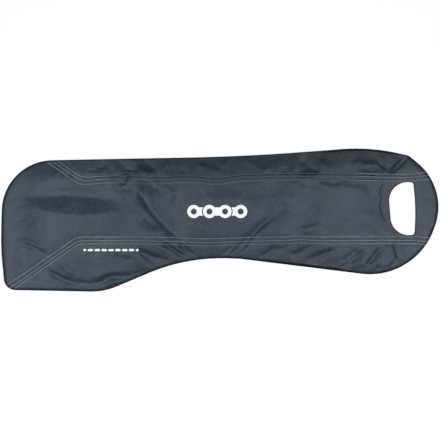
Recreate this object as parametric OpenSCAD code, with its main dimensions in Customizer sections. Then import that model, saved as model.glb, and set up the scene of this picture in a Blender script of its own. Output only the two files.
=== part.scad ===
// Chain cover for a mountain bike: a flat cloth sleeve for the chain, the chainring and the
// gear changer. It lies on its back panel with the front panel up, the tail at -X, the round
// nose at +X and the open mouth along +Y. The origin is on the floor, under the middle.

/* [Outline] */
// Length of the drafted pattern, from the tail end to the nose end
cover_len = 700; // [640:5:760]
// Height from the mouth line down to the heel of the tail
tail_h = 214; // [195:1:235]
// Height from the mouth line down to the waist
waist_h = 162; // [150:1:175]
// Height from the mouth line down to the lower corner of the nose
nose_h = 198.5; // [188:0.5:210]
// Run from the tail end to the shoulder
shoulder_run = 165; // [145:1:180]
// Run from the tail end to where the waist starts
waist_run = 297; // [280:1:310]
// Length of the waist
waist_len = 85; // [75:1:110]
// Rise of the crest corner over the mouth line
crest_rise = 15.6; // [10:0.2:20]
// Run from the nose end back to the crest corner
crest_run = 109; // [100:1:118]
// Run from the nose end back to the end of the mouth
mouth_stop = 47; // [42:1:52]
// Radius of the large corner at the top of the tail
tail_corner_r = 82; // [60:1:95]
// Radius of the heel
heel_r = 19; // [12:1:26]
// Radius of the lower half of the nose
nose_low_r = 109; // [90:1:118]
// Radius of the upper half of the nose
nose_top_r = 91; // [75:1:100]

/* [Hand hole] */
// Width of the D-shaped hole along the cover
hole_w = 42.5; // [36:0.5:48]
// Height of the hole across the cover
hole_h = 85.5; // [76:0.5:88]
// Strip of cloth left between the hole and the nose end
grip_w = 36; // [32:1:42]
// Corner radius on the grip side of the hole
hole_grip_r = 4.5; // [3:0.5:8]
// Corner radius on the round side of the hole
hole_round_r = 30; // [22:1:32]

/* [Cloth] */
// Thickness of a panel, coated polyester with its lining
cloth_t = 0.9; // [0.7:0.1:1.2]
// Clear height between the two panels in the middle
loft = 8.6; // [8:0.1:12]
// How much lower the front panel hangs at its mouth than at the upper band
mouth_drop = 2.2; // [1:0.1:3]
// Distance from a sewn edge at which the front panel reaches its full height
loft_run = 70; // [55:1:85]
// Distance from the hand hole at which it does so
hole_run = 60; // [50:1:90]
// Width of the flat rim where the two panels are sewn together
rim_w = 1.6; // [1.2:0.1:2.2]
// Width of the hem turned in along the mouth
hem_w = 22; // [20:1:26]

/* [Bindings] */
// Width of the tape that binds the seam inside
binding_w = 7; // [5:0.5:9]
// Thickness of that tape and of the facing, with the seam in them
binding_t = 0.9; // [0.7:0.1:1]
// Gap between the sewn rim and the binding
binding_gap = 2.6; // [2.4:0.1:4]
// Width of the facing around the hand hole
facing_w = 6; // [4:0.5:7]

/* [Stitching] */
// Distance from the middle row of a band to the inner one, towards the middle of the cover
inner_pitch = 6; // [4.5:0.1:6.5]
// Distance from the middle row to the outer one
outer_pitch = 4.9; // [4.5:0.1:6.5]
// Width of the sewing thread
thread_w = 0.9; // [0.6:0.1:1.2]
// Height of the thread over the cloth
thread_h = 0.4; // [0.3:0.1:0.6]
// Level of the upper band under the mouth line, at the tail
upper_level = 36.4; // [33:0.1:38]
// How much nearer to the mouth line it runs at the nose
upper_rise = 4.1; // [3:0.1:5]
// Level of the lower band under the mouth line
lower_level = 135; // [132:0.5:138]
// Run from the tail end to the knee of the upper band
upper_knee = 127; // [112:1:135]
// Run from the tail end to the knee of the lower band
lower_knee = 123.5; // [112:0.5:135]

/* [Closure] */
// Length of one hook or loop patch
patch_len = 80; // [60:1:100]
// Width of a patch
patch_w = 16; // [12:1:18]
// Thickness of a patch
patch_t = 1; // [0.8:0.1:1.2]
// Pitch of the three patches along the mouth
patch_pitch = 190; // [160:5:195]

/* [Hidden] */
ROWS = [1, 2, 3];

cloth_colour = "#48525c";
lining_colour = "#39424b";
thread_colour = "#98a0a8";
tape_colour = "#22262a";

tail_x = -cover_len / 2;
nose_x = cover_len / 2;

// Corners of the pattern, clockwise, each with its level from the mouth line and its radius.
// The sides are drafted straight, and large radii ease them into slow curves.
pattern = [
    [tail_x + 3, -7.8, tail_corner_r],
    [nose_x - 296, 0, 3300],
    [nose_x - crest_run, crest_rise, 311],
    [nose_x - mouth_stop, 1.2, 9.7],
    [nose_x + 17.7, -52.5, nose_top_r],
    [nose_x - 38, -nose_h, nose_low_r],
    [tail_x + waist_run + waist_len, -waist_h - 2, 94],
    [tail_x + waist_run, -waist_h + 0.6, 303],
    [tail_x + shoulder_run, -tail_h - 3, 103],
    [tail_x + 6, -tail_h, heel_r],
    [tail_x - 0.6, -146, 430],
];
mouth_start = tail_x + 72;
mouth_end_corner = 3;

// Corners of the hand hole, clockwise. Its grip side is bowed a little.
hole_x1 = nose_x - grip_w;
hole_x0 = hole_x1 - hole_w;
hole_top = upper_level + inner_pitch;
hole_low = hole_top + hole_h;
hole_corners = [
    [hole_x0 - 3.3, -hole_top + 4.1, hole_round_r],
    [hole_x1 - 3.3, -hole_top + 0.9, hole_grip_r],
    [hole_x1 + 1.4, -hole_top - hole_h * 0.56, 338],
    [hole_x1 - 1.7, -hole_low + 2.4, hole_grip_r],
    [hole_x0 + 4.4, -hole_low - 3.7, hole_round_r],
];

chord_tol = 0.1;      // how far a chord may stray from its arc
seat_gap = 0.4;       // play between a patch and the faceted underside of the front panel
thread_lift = 0.15;   // play between a thread and the facets under it
row_end = 2.4;        // how far a row of stitching stops short of the edge
patch_step = 10;
fold_fade = 14;       // run from an edge over which a fold comes to its full height
fold_limit = 0.4;     // most that a valley may take off the rise of the cloth, as a share
hem_stop = 14;        // how far the back hem stops short of both ends of the mouth
roll_t = 0.35;        // height of the rolled edge at its very rim, over the back panel
least_r = 0.5;
trail_step = 6;

// Stations along the cover: 0 at the tail end, 1 at the knees, 2 beside the grip, 3 at the nose
tail_stations = [0, 0.01, 0.025, 0.055, 0.11, 0.2, 0.32, 0.45, 0.58, 0.71, 0.85];
level_steps = 46;
nose_stations = [for (s = tail_stations) if (s > 0 && s < 0.6) 1 - s];
stations = concat(
    tail_stations,
    [for (i = [0:level_steps]) 1 + i / level_steps],
    [for (i = [len(nose_stations) - 1:-1:0]) 2 + nose_stations[i]],
    [3]
);
middle_steps = 12;
edge_insets = [0, 0.8, 1.6, 3.8];   // rings along an edge, then even steps to the rows
zone_steps = 3;

// Folds that the cloth keeps from being packed: height, half width and the way they run, as
// runs from the tail end and levels under the mouth line
folds = [
    [-1.8, 14, [[14, 64], [70, 66], [130, 70], [196, 78]]],
    [0.7, 8, [[20, 133], [46, 137], [76, 153]]],
    [1, 8, [[62, 175], [86, 203], [130, 209]]],
    [1.5, 9, [[219, 44], [228, 84], [250, 122], [280, 142]]],
    [-1.4, 10, [[236, 42], [247, 80], [268, 114], [296, 132]]],
    [-0.9, 8, [[192, 48], [214, 52]]],
    [-0.8, 8, [[256, 46], [280, 66]]],
    [1.8, 7, [[126, 209], [165, 201], [183, 192], [218, 191], [244, 187]]],
    [1.5, 7, [[212, 154], [240, 167], [276, 172]]],
    [1, 6, [[228, 136], [251, 152], [282, 165]]],
    [0.9, 6, [[278, 136], [304, 154], [318, 166]]],
    [-1.2, 7, [[368, 164], [386, 143], [408, 126]]],
    [-1.5, 10, [[396, 134], [424, 108], [448, 88]]],
    [-0.9, 6, [[400, 158], [440, 128]]],
    [0.8, 8, [[476, 121], [518, 108]]],
    [0.7, 8, [[500, 166], [522, 148]]],
    [0.7, 8, [[548, 172], [574, 148]]],
    [0.7, 8, [[590, 169], [616, 146]]],
    [-0.8, 7, [[637, 142], [647, 168]]],
    [-2.2, 7, [[622, 28], [640, 13], [658, -2]]],
    [-1.6, 7, [[590, 0], [610, 11], [630, 28]]],
    [-0.5, 9, [[474, 2], [508, 30]]],
    [1, 10, [[212, 34], [252, 42]]],
];

// The run over which the upper band rises towards the mouth: where it starts and how long it is
rise_from = 300;
rise_run = 170;

// Where a fold draws a band down or lets it up: run, half width and depth
upper_sags = [[133, 24, 2.2], [254, 16, 1.8], [347, 22, 4], [640, 40, 1.4]];
lower_sags = [[327, 60, 2.8], [480, 22, -1.6]];

function mix(a, b, t) = a + (b - a) * t;
function xy(p) = [p.x, p.y];
function unit(v) = v / norm(v);
function cross_z(a, b) = a.x * b.y - a.y * b.x;
function right_of(v) = [v.y, -v.x];
function smooth(t) = let (c = min(max(t, 0), 1)) c * c * (3 - 2 * c);
function heading(corners, i) =
    let (n = len(corners)) unit(xy(corners[(i + 1) % n]) - xy(corners[i % n]));

// Where two lines meet that run a distance d to the right of the headings a and b at p
function mitre(p, a, b, d) =
    let (m = right_of(a), n = right_of(b)) p + d * (m + n) / (1 + m * n);

// The same outline, moved a distance d to its inside
function inset(corners, d) = let (n = len(corners)) [
    for (i = [0:n - 1])
        let (
            a = heading(corners, i + n - 1),
            b = heading(corners, i),
            p = mitre(xy(corners[i]), a, b, d),
            r = corners[i].z - (cross_z(a, b) < 0 ? d : -d)
        ) [p.x, p.y, max(r, least_r)]
];

// How far the arc of corner i reaches along its sides, and the share of it that fits there
function reach(corners, i) =
    let (n = len(corners), turn = -heading(corners, i + n - 1) * heading(corners, i))
        corners[i % n].z / tan(acos(turn) / 2);
function share(corners, i) =
    let (n = len(corners), side = norm(xy(corners[(i + 1) % n]) - xy(corners[i % n])))
        min(1, 0.99 * side / (reach(corners, i % n) + reach(corners, (i + 1) % n)));

// Points of the arc that rounds corner i
function fillet(corners, i) =
    let (
        n = len(corners), p = xy(corners[i]),
        r = corners[i].z * min(share(corners, i), share(corners, i + n - 1)),
        a = -heading(corners, i + n - 1), b = heading(corners, i),
        half = acos(a * b) / 2,
        centre = p + unit(a + b) * r / sin(half),
        w = a * r / tan(half) + p - centre,
        sweep = (180 - 2 * half) * (cross_z(a, b) > 0 ? -1 : 1),
        steps = max(2, ceil(abs(sweep) / (2 * acos(1 - chord_tol / max(r, 1)))))
    ) [
        for (k = [0:steps])
            let (t = sweep * k / steps)
                centre + [w.x * cos(t) - w.y * sin(t), w.x * sin(t) + w.y * cos(t)]
    ];

function rounded(corners) = [for (i = [0:len(corners) - 1]) each fillet(corners, i)];

outline = rounded(pattern);
hole = rounded(hole_corners);
middle = [for (axis = [0, 1]) let (v = [for (p = outline) p[axis]]) (min(v) + max(v)) / 2];

// Length along the outline at each of its points, closed
function run_lengths(pts, i = 0, sum = 0) =
    i >= len(pts) ? [sum]
    : concat([sum], run_lengths(pts, i + 1, sum + norm(pts[(i + 1) % len(pts)] - pts[i])));
lengths = run_lengths(outline);
girth = lengths[len(outline)];
x_along = [for (i = [0:len(outline)]) [lengths[i], outline[i % len(outline)].x]];
y_along = [for (i = [0:len(outline)]) [lengths[i], outline[i % len(outline)].y]];
function outline_at(s) =
    let (t = s < 0 ? s + girth : s > girth ? s - girth : s) [lookup(t, x_along), lookup(t, y_along)];

// Length along the outline where a ray from p first meets it
function ray_hit(p, way) =
    let (hits = [
        for (i = [0:len(outline) - 1])
            let (
                a = outline[i],
                e = outline[(i + 1) % len(outline)] - a,
                det = cross_z(way, e),
                t = det == 0 ? -1 : cross_z(a - p, e) / det,
                w = det == 0 ? -1 : cross_z(a - p, way) / det
            )
            if (t > 0 && w >= 0 && w <= 1) [t, lengths[i] + w * norm(e)]
    ], nearest = min([for (h = hits) h[0]])) [for (h = hits) if (h[0] == nearest) h[1]][0];

// A path with points at most a step apart, each with its row of a matrix that turns
// [x, y, 1] into the squared distance less x * x + y * y
function trail(path, step) =
    let (pts = [
        for (i = [0:len(path) - 2])
            let (n = ceil(norm(path[i + 1] - path[i]) / step))
                for (k = [0:n - 1]) mix(path[i], path[i + 1], k / n),
        path[len(path) - 1]
    ]) [pts, [for (v = pts) [-2 * v.x, -2 * v.y, v * v]]];

function line_distance(p, a, b) =
    let (e = b - a, t = min(max((p - a) * e / (e * e), 0), 1)) norm(a + e * t - p);
function trail_distance(p, track) =
    let (
        pts = track[0],
        squares = track[1] * [p.x, p.y, 1],
        i = search(min(squares), squares)[0]
    ) min([for (k = [max(i - 1, 0):min(i, len(pts) - 2)]) line_distance(p, pts[k], pts[k + 1])]);

// The sewn edge runs from the end of the mouth round the nose, the bottom and the tail
mouth_start_s = ray_hit([mouth_start, -hem_w], [0, 1]);
mouth_end_s = ray_hit(xy(pattern[mouth_end_corner]) - [0, hem_w], [0, 1]);
sewn = trail(concat(
    [outline_at(mouth_end_s)],
    [for (i = [0:len(outline) - 1]) if (lengths[i] > mouth_end_s) outline[i]],
    [for (i = [0:len(outline) - 1]) if (lengths[i] < mouth_start_s) outline[i]],
    [outline_at(mouth_start_s)]
), trail_step);
mouth = trail(concat(
    [outline_at(mouth_start_s)],
    [for (i = [0:len(outline) - 1]) if (lengths[i] > mouth_start_s && lengths[i] < mouth_end_s) outline[i]],
    [outline_at(mouth_end_s)]
), trail_step);
hole_edge = trail(concat(hole, [hole[0]]), trail_step);
creases = [for (f = folds) [f[0], f[1], trail(f[2], trail_step)[1]]];

function fold_height(p) =
    let (x = p.x - tail_x, y = -p.y, square = x * x + y * y)
        [for (c = creases) c[0] * exp(-(min(c[2] * [x, y, 1]) + square) / (c[1] * c[1]))] * [for (c = creases) 1];

// Heights of both faces of the front panel. It rests on the back panel along the sewn edge,
// steps over the tape inside and rises to its full height. Along the mouth it is doubled.
function cloth_heights(p) =
    let (
        d = trail_distance(p, sewn),
        h = trail_distance(p, hole_edge),
        m = trail_distance(p, mouth),
        over_tape = binding_t * smooth((d - rim_w) / (binding_gap - 0.6)),
        dome = sin(90 * min(d / loft_run, 1)) * sin(90 * min(h / hole_run, 1)),
        droop = mouth_drop * dome * max(1 - m / hole_top, 0),
        rise = (loft - binding_t) * dome,
        relief = fold_height(p) * smooth((d - rim_w) / fold_fade) * smooth((h - rim_w) / fold_fade),
        level = cloth_t + over_tape + rise - droop + max(relief, -rise * fold_limit),
        hem = cloth_t * smooth((hem_w - m) / 4) * smooth((d - 12) / 20)
    ) [level + mix(roll_t, cloth_t, smooth(d / rim_w)), level - hem];

// A row of stitching: where it ends on the outline, its knee and its place beside the grip
upper = 1;
lower = -1;
function tail_slope(side) = side == upper ? 34.3 : -34.6;
function nose_slope(side) = side == upper ? 8 : -4;
function knee_x(side) = tail_x + (side == upper ? upper_knee : lower_knee);
function row_off(side, k) = k * (k == side ? outer_pitch : inner_pitch);
function sag(sags, run) =
    [for (s = sags) s[2] * exp(-pow((run - s[0]) / s[1], 2))] * [for (s = sags) 1];
function band_level(side, x) =
    let (run = x - tail_x)
        side == upper ? upper_rise * smooth((run - rise_from) / rise_run) - upper_level - sag(upper_sags, run)
        : -lower_level - sag(lower_sags, run);
function row_keys(side, k) =
    let (
        way = [-cos(tail_slope(side)), sin(tail_slope(side))],
        corner = [knee_x(side), band_level(side, knee_x(side))],
        knee = mitre(corner, -way, [1, 0], -row_off(side, k)),
        grip = [hole_x1, band_level(side, hole_x1) + row_off(side, k)],
        rise = nose_slope(side) * (1 + 0.25 * k * side)
    ) [ray_hit(knee, way), knee, grip, ray_hit(grip, [cos(rise), sin(rise)])];
function row_point(side, k, keys, s) =
    s <= 1 ? mix(outline_at(keys[0]), keys[1], s)
    : s <= 2 ? let (x = mix(keys[1].x, keys[2].x, s - 1)) [x, band_level(side, x) + row_off(side, k)]
    : mix(keys[2], outline_at(keys[3]), s - 2);
function row_line(side, k) = let (keys = row_keys(side, k)) [for (s = stations) row_point(side, k, keys, s)];

// The stretch of outline past a band, station by station
end_step = 4;
function edge_line(side) =
    let (
        outer = row_keys(side, side),
        keys = [
            outer[0] + side * end_step,
            ray_hit(outer[1], [0, side]),
            ray_hit(outer[2], [0, side]),
            outer[3] - side * end_step
        ]
    ) [for (s = stations) let (i = min(floor(s), 2)) outline_at(mix(keys[i], keys[i + 1], s - i))];

// Lines from an edge to the outer row of its band, close together at the edge
function zone_lines(edge, row) =
    let (last = len(edge_insets) - 1) [
        for (n = [0:last + zone_steps - 1]) [
            for (i = [0:len(edge) - 1])
                let (
                    reach = norm(row[i] - edge[i]),
                    ring = min(edge_insets[min(n, last)] / reach, 0.12 * n),
                    t = n <= last ? ring : mix(ring, 1, (n - last) / zone_steps)
                ) mix(edge[i], row[i], t)
        ]
    ];

// Lines between the two bands, bent to the outline at the tail and at the nose
function middle_lines(low, high) =
    let (
        tail_low = row_keys(lower, upper)[0], tail_high = row_keys(upper, lower)[0] + girth,
        nose_low = row_keys(lower, upper)[3], nose_high = row_keys(upper, lower)[3],
        last = len(stations) - 1
    ) [
        for (n = [1:middle_steps - 1])
            let (
                t = n / middle_steps,
                tail_bow = outline_at(mix(tail_low, tail_high, t)) - mix(low[0], high[0], t),
                nose_bow = outline_at(mix(nose_low, nose_high, t)) - mix(low[last], high[last], t)
            ) [
                for (i = [0:last])
                    mix(low[i], high[i], t)
                        + tail_bow * max(1 - stations[i], 0) + nose_bow * max(stations[i] - 2, 0)
            ]
    ];

function reversed(list) = [for (i = [len(list) - 1:-1:0]) list[i]];
function cloth_lines() =
    let (
        low = [for (k = [-1, 0, 1]) row_line(lower, k)],
        high = [for (k = [-1, 0, 1]) row_line(upper, k)]
    ) concat(
        zone_lines(edge_line(lower), low[0]), low,
        middle_lines(low[2], high[0]),
        high, reversed(zone_lines(edge_line(upper), high[2]))
    );

// A sheet on lines of points, each line from tail to nose, with heights for both its faces
module sheet(lines, heights) {
    rows = len(lines);
    cols = len(lines[0]);
    count = rows * cols;
    points = [
        for (face = [0, 1]) for (j = [0:rows - 1]) for (i = [0:cols - 1])
            [lines[j][i].x, lines[j][i].y, heights[j][i][face]]
    ];
    quads = concat(
        [for (j = [0:rows - 2]) for (i = [0:cols - 2]) let (a = j * cols + i) [a, a + cols, a + cols + 1, a + 1]],
        [for (j = [0:rows - 2]) for (i = [0:cols - 2])
            let (a = count + j * cols + i) [a, a + 1, a + cols + 1, a + cols]],
        [for (i = [0:cols - 2]) [count + i, i, i + 1, count + i + 1]],
        [for (i = [0:cols - 2]) let (a = count - cols + i) [count + a + 1, a + 1, a, count + a]],
        [for (j = [0:rows - 2]) let (a = j * cols) [count + a + cols, a + cols, a, count + a]],
        [for (j = [0:rows - 2]) let (a = (j + 1) * cols - 1) [count + a, a, a + cols, count + a + cols]]
    );
    polyhedron(points, [for (q = quads) each [[q[0], q[1], q[2]], [q[0], q[2], q[3]]]]);
}

module in_place() {
    translate([-middle.x, -middle.y, 0]) children();
}

module cut_shape(d = 0) {
    polygon(rounded(inset(pattern, d)));
}

module hole_shape(d = 0) {
    polygon(rounded(inset(hole_corners, -d)));
}

// The stretch of the cut along the mouth, less a little at both of its ends
module mouth_zone(depth, short = 0) {
    a = outline_at(mouth_start_s) + [short, 0];
    b = outline_at(mouth_end_s) - [short, 0];
    polygon([a + [0, -depth], a + [0, depth], b + [0, depth], b + [0, -depth]]);
}

module front_panel() {
    lines = cloth_lines();
    heights = [for (l = lines) [for (p = l) cloth_heights(p)]];
    color(cloth_colour) in_place() difference() {
        sheet(lines, heights);
        translate([0, 0, -loft]) linear_extrude(3 * loft) hole_shape();
    }
}

module back_panel() {
    color(cloth_colour) in_place() {
        linear_extrude(cloth_t) difference() {
            cut_shape();
            hole_shape();
        }
        translate([0, 0, cloth_t]) linear_extrude(cloth_t) difference() {
            intersection() {
                cut_shape();
                mouth_zone(3 * hem_w, hem_stop);
            }
            cut_shape(hem_w);
        }
    }
}

module seam_binding() {
    first = rim_w + binding_gap;
    color(tape_colour) in_place() translate([0, 0, cloth_t]) linear_extrude(binding_t) difference() {
        cut_shape(first);
        cut_shape(first + binding_w);
        mouth_zone(3 * hem_w);
    }
}

module hole_facing() {
    color(lining_colour) in_place() translate([0, 0, cloth_t]) linear_extrude(binding_t) difference() {
        hole_shape(facing_w);
        hole_shape();
    }
}

// Lines along one of the three patches, which keep level with the mouth beside them
function patch_lines(n) =
    let (
        centre = (mouth_start + pattern[mouth_end_corner].x) / 2 + (n - 2) * patch_pitch,
        steps = ceil(patch_len / patch_step),
        margin = (hem_w - patch_w) / 2
    ) [
        for (depth = [margin + patch_w, margin + patch_w / 2, margin]) [
            for (i = [0:steps])
                let (x = centre + patch_len * (i / steps - 0.5)) outline_at(ray_hit([x, -hem_w], [0, 1])) - [0, depth]
        ]
    ];

module hook_patches() {
    color(tape_colour) in_place() for (n = ROWS) {
        lines = patch_lines(n);
        sheet(lines, [
            for (l = lines) [for (p = l) let (top = cloth_heights(p)[1] - seat_gap) [top, top - patch_t]]
        ]);
    }
}

module loop_patches() {
    seat = 2 * cloth_t;
    color(tape_colour) in_place() for (n = ROWS) {
        lines = patch_lines(n);
        sheet(lines, [for (l = lines) [for (p = l) [seat + patch_t, seat]]]);
    }
}

module stitch_row(side, k) {
    line = [
        for (p = row_line(side, k))
            if (min(trail_distance(p, sewn), trail_distance(p, mouth)) > row_end) p
    ];
    last = len(line) - 1;
    half = [
        for (i = [0:last])
            right_of(unit(line[min(i + 1, last)] - line[max(i - 1, 0)])) * thread_w / 2
    ];
    seats = [for (p = line) cloth_heights(p)[0] + thread_lift];
    color(thread_colour) in_place() sheet(
        [line + half, line - half],
        [for (n = [0, 1]) [for (z = seats) [z + thread_h, z]]]
    );
}

front_panel();
back_panel();
seam_binding();
hole_facing();
hook_patches();
loop_patches();
for (n = ROWS) {
    stitch_row(upper, n - 2);
    stitch_row(lower, n - 2);
}
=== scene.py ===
# %% [markdown]
# # A chain cover for a mountain bike
# The cover is a flat cloth sleeve. A bike's oily chain, chainring and gear changer go in through
# the open mouth along the top, and the D-shaped hole at the round nose is the grip to carry it by.
# Two panels are cut from the same paper pattern, sewn together round the edge and turned right
# side out. The lesson starts with the measured frame, in which every piece already has its place.

# %% Load the frame
import math

import bpy
import numpy as np
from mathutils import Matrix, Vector, noise
from mathutils.geometry import delaunay_2d_cdt
from mathutils.kdtree import KDTree


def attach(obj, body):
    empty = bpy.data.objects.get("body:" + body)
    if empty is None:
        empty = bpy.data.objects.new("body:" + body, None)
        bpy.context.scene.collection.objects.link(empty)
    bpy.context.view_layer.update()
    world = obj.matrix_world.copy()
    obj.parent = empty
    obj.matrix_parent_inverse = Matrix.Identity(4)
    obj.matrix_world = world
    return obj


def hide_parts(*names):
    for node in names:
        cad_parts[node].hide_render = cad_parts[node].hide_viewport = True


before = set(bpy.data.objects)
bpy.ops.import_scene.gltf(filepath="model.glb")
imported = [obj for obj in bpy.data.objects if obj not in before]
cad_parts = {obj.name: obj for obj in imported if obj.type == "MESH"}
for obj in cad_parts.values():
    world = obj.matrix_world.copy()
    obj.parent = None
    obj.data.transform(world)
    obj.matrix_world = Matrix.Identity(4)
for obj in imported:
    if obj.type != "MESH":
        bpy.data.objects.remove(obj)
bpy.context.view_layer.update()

bpy.ops.object.select_all(action="DESELECT")

# %% [markdown]
# ## The paper pattern
# Cloth is cut to a paper pattern, so the pattern comes first and the mesh follows from it. It is
# drafted in millimetres, with runs measured from the tail end and levels from the mouth line. Each
# corner has a radius, because a cutter's knife turns in arcs. A Bezier curve drawn by eye would do
# too, but corners and radii say what the shape is, and both panels and all seams can share them.

# %% Draft the outline and the hand hole
MM = 0.001
TAIL, NOSE = -350.0, 350.0
MOUTH_START = TAIL + 72
INNER_PITCH = 6.0       # from the middle row of a band to the row on the cover's inner side
UPPER_LEVEL = 36.4      # of the middle row of the upper band
HOLE_W, HOLE_H, GRIP_W = 42.5, 85.5, 36.0
HOLE_X1 = NOSE - GRIP_W
HOLE_X0 = HOLE_X1 - HOLE_W
HOLE_TOP = UPPER_LEVEL + INNER_PITCH
HOLE_LOW = HOLE_TOP + HOLE_H

# Each corner has its place and its radius
PATTERN = np.array([
    (TAIL + 3, -7.8, 82),
    (NOSE - 296, 0, 3300),
    (NOSE - 109, 15.6, 311),
    (NOSE - 47, 1.2, 9.7),
    (NOSE + 17.7, -52.5, 91),
    (NOSE - 38, -198.5, 109),
    (TAIL + 382, -164, 94),
    (TAIL + 297, -161.4, 303),
    (TAIL + 165, -217, 103),
    (TAIL + 6, -214, 19),
    (TAIL - 0.6, -146, 430),
])
MOUTH_END_CORNER = 3
HOLE = np.array([
    (HOLE_X0 - 3.3, -HOLE_TOP + 4.1, 30),
    (HOLE_X1 - 3.3, -HOLE_TOP + 0.9, 4.5),
    (HOLE_X1 + 1.4, -HOLE_TOP - HOLE_H * 0.56, 338),
    (HOLE_X1 - 1.7, -HOLE_LOW + 2.4, 4.5),
    (HOLE_X0 + 4.4, -HOLE_LOW - 3.7, 30),
])
print("pattern", len(PATTERN), "corners, hole", len(HOLE), "corners")

# %% Turn the corners into arcs
LEAST_R = 0.5           # radius of the sharpest corner
ARC_LIMIT = 0.99        # most of a side that the arcs at both its ends may take
OUTLINE_STEP, HOLE_STEP = 2.0, 1.5      # between the points of the edges


def unit(v):
    return v / np.linalg.norm(v)


def heading(corners, i):
    n = len(corners)
    return unit(corners[(i + 1) % n, :2] - corners[i % n, :2])


def cross_z(a, b):
    return a[0] * b[1] - a[1] * b[0]


def mitre(p, a, b, d):
    """Where two lines meet that run a distance d to the right of the headings a and b at p."""
    m, n = np.array((a[1], -a[0])), np.array((b[1], -b[0]))
    return p + d * (m + n) / (1 + m @ n)


def inset(corners, d):
    """The same corners, moved a distance d to their inside."""
    moved = []
    for i, corner in enumerate(corners):
        a, b = heading(corners, i - 1), heading(corners, i)
        x, y = mitre(corner[:2], a, b, d)
        moved.append((x, y, max(corner[2] - (d if cross_z(a, b) < 0 else -d), LEAST_R)))
    return np.array(moved)


def reach(corners, i):
    """How far the arc of a corner reaches along both its sides."""
    n = len(corners)
    turn = -heading(corners, i - 1) @ heading(corners, i)
    return corners[i % n, 2] / math.tan(math.acos(turn) / 2)


def share(corners, i):
    """How much of its radius a corner may have, so that the arcs of a side don't meet."""
    n = len(corners)
    side = np.linalg.norm(corners[(i + 1) % n, :2] - corners[i % n, :2])
    return min(1, ARC_LIMIT * side / (reach(corners, i) + reach(corners, i + 1)))


def rounded(corners, chord=0.02):
    """Points along the outline whose corners are rounded by arcs."""
    points = []
    for i, corner in enumerate(corners):
        r = corner[2] * min(share(corners, i), share(corners, i - 1))
        a, b = -heading(corners, i - 1), heading(corners, i)
        half = math.acos(a @ b) / 2
        centre = corner[:2] + unit(a + b) * r / math.sin(half)
        spoke = a * r / math.tan(half) + corner[:2] - centre
        sweep = (math.pi - 2 * half) * (-1 if cross_z(a, b) > 0 else 1)
        steps = max(2, math.ceil(abs(sweep) / (2 * math.acos(1 - chord / max(r, 1)))))
        for t in np.linspace(0, sweep, steps + 1):
            c, s = math.cos(t), math.sin(t)
            points.append(centre + (spoke[0] * c - spoke[1] * s, spoke[0] * s + spoke[1] * c))
    return np.array(points)


def even(path, step, closed=True):
    """The same line with its points one step apart."""
    if closed:
        path = np.vstack([path, path[:1]])
    along = np.concatenate([[0], np.cumsum(np.linalg.norm(np.diff(path, axis=0), axis=1))])
    stops = np.linspace(0, along[-1], max(2, round(along[-1] / step)) + 1)
    points = np.column_stack([np.interp(stops, along, path[:, k]) for k in (0, 1)])
    return points[:-1] if closed else points


outline = even(rounded(PATTERN), OUTLINE_STEP)
hole = even(rounded(HOLE), HOLE_STEP)
MIDDLE = (outline.min(axis=0) + outline.max(axis=0)) / 2
print("outline", len(outline), "points, hole", len(hole), "points, middle at", MIDDLE)

# %% [markdown]
# ## Edges and distances
# What happens to the cloth depends on how far it is from an edge: it is held down at the sewn edge,
# stiff round the hand hole and free along the mouth. So each point of a panel gets its distance
# from those three lines, as a tailor measures in from the seam. Weights painted by hand would do
# for one panel, but a distance stays right when the pattern is changed.

# %% Measure from a line
def ray_hit(p, way):
    """The point where a ray from p first meets the outline."""
    a, e = outline, np.roll(outline, -1, axis=0) - outline
    det = way[0] * e[:, 1] - way[1] * e[:, 0]
    off = a - p
    t = (off[:, 0] * e[:, 1] - off[:, 1] * e[:, 0]) / det
    w = (off[:, 0] * way[1] - off[:, 1] * way[0]) / det
    hit = np.where((t > 0) & (w >= 0) & (w <= 1), t, np.inf).min()
    return p + np.array(way) * hit


def follow(points, path, closed=False):
    """How far each point is from a line, whether it is to its left, and its share of the way along."""
    tree = KDTree(len(path))
    for i, (x, y) in enumerate(path):
        tree.insert((x, y, 0), i)
    tree.balance()
    near = np.array([tree.find((x, y, 0))[1] for x, y in points], int)
    count = len(path)
    best, left, along = np.full(len(points), np.inf), np.zeros(len(points), bool), np.zeros(len(points))
    for back in (1, 0):
        i = near - back
        i = i % count if closed else np.clip(i, 0, count - 2)
        a, e = path[i], path[(i + 1) % count] - path[i]
        t = np.clip(((points - a) * e).sum(axis=1) / (e * e).sum(axis=1), 0, 1)
        off = points - a - t[:, None] * e
        gap = np.hypot(off[:, 0], off[:, 1])
        closer = gap < best
        best = np.where(closer, gap, best)
        left = np.where(closer, e[:, 0] * off[:, 1] - e[:, 1] * off[:, 0] > 0, left)
        along = np.where(closer, (i + t) / (count - 1), along)
    return best, left, along


def distance(points, path, closed=False):
    return follow(points, path, closed)[0]


# %% Split the outline into the mouth and the sewn edge
HEM_W = 22.0


def nearest(path, p):
    return int(np.argmin(np.hypot(*(path - p).T)))


mouth_end = PATTERN[MOUTH_END_CORNER, :2]
mouth_from = nearest(outline, ray_hit((MOUTH_START, -HEM_W), (0, 1)))
mouth_to = nearest(outline, ray_hit(mouth_end - (0, HEM_W), (0, 1)))
order = np.roll(np.arange(len(outline)), -mouth_from)
span = (mouth_to - mouth_from) % len(outline)
mouth = outline[order[:span + 1]]
sewn = outline[np.append(order[span:], order[0])]
print("mouth", len(mouth), "points, sewn edge", len(sewn), "points")

# %% [markdown]
# ## Rows of stitching
# Two bands of three rows cross the front. They show how the real panel was quilted, and every row
# is one line: up from the tail, a knee, along the cover past the hand hole, and out at the nose.
# Six curves drawn by hand would do, but the rows of a band run side by side, so one function of
# the distance from the middle row draws all three, and folds draw all three in together.

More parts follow.
